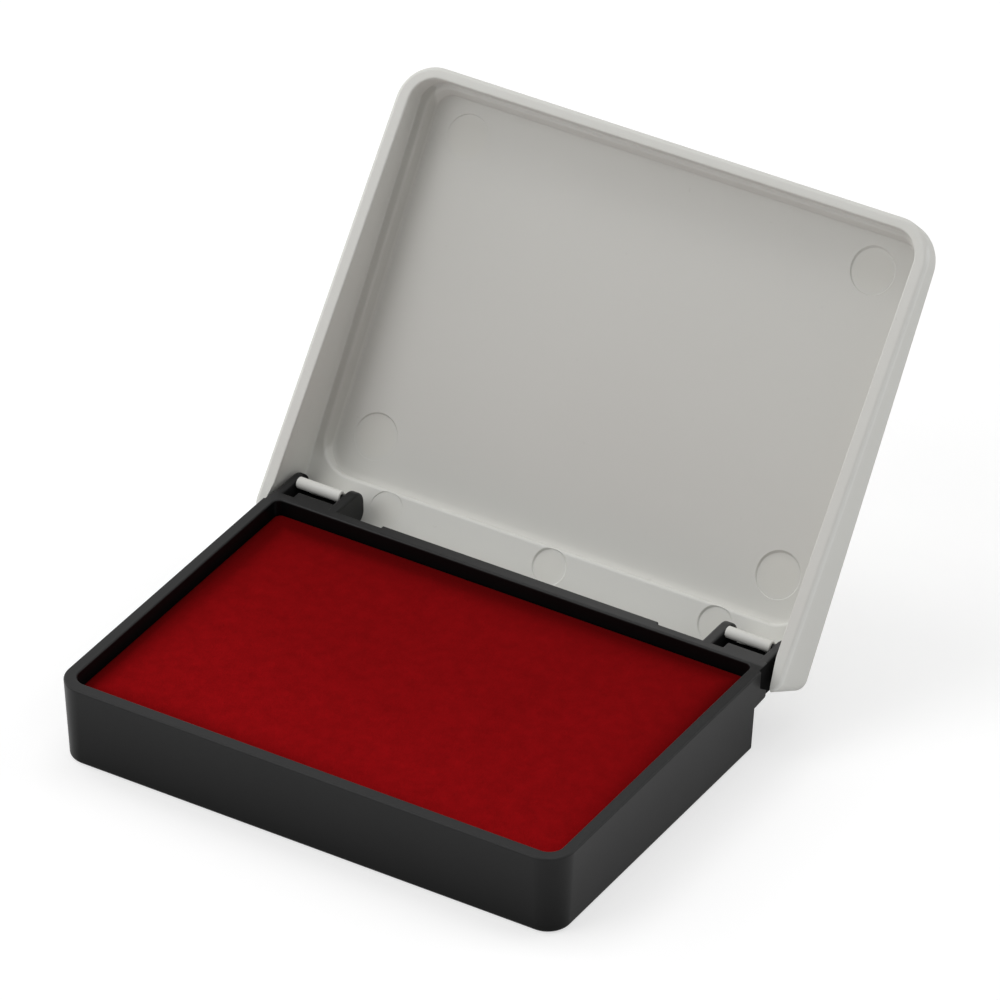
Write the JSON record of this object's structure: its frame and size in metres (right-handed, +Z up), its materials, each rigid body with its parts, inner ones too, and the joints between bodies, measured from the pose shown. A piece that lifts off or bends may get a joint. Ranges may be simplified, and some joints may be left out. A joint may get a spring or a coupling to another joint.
{
  "type": "stamp pad",
  "caption": "Low rectangular tray holding a flat inked cloth pad, with a shallow cap lid hinged along the back edge, standing open.",
  "frame": {"origin": "on the table under the middle of the tray's width, between its front wall and the inner edge of its rear rim", "axes": "+X to the right along the hinge, +Y to the back, +Z up"},
  "size_m": [0.1248, 0.1446, 0.0904],
  "materials": {
    "black_plastic": "moulded, satin",
    "grey_plastic": "moulded, satin",
    "red_cloth": "fine woven cloth, inked, matte",
    "red_felt": "felt, inked",
    "red_foam": "foam, inked",
    "grey_board": "pressed board"
  },
  "bodies": {
    "tray": {"base_tray": "black_plastic", "backing_board": "grey_board", "ink_foam": "red_foam", "felt_pad": "red_felt", "cover_cloth": "red_cloth"},
    "lid": {"lid": "grey_plastic"}
  },
  "joints": [
    {"name": "lid_hinge", "type": "hinge", "parent": "tray", "child": "lid", "pos_m": [0, 0.0479, 0.0179], "axis": [1, 0, 0], "range_deg": [0, 128.5]}
  ]
}
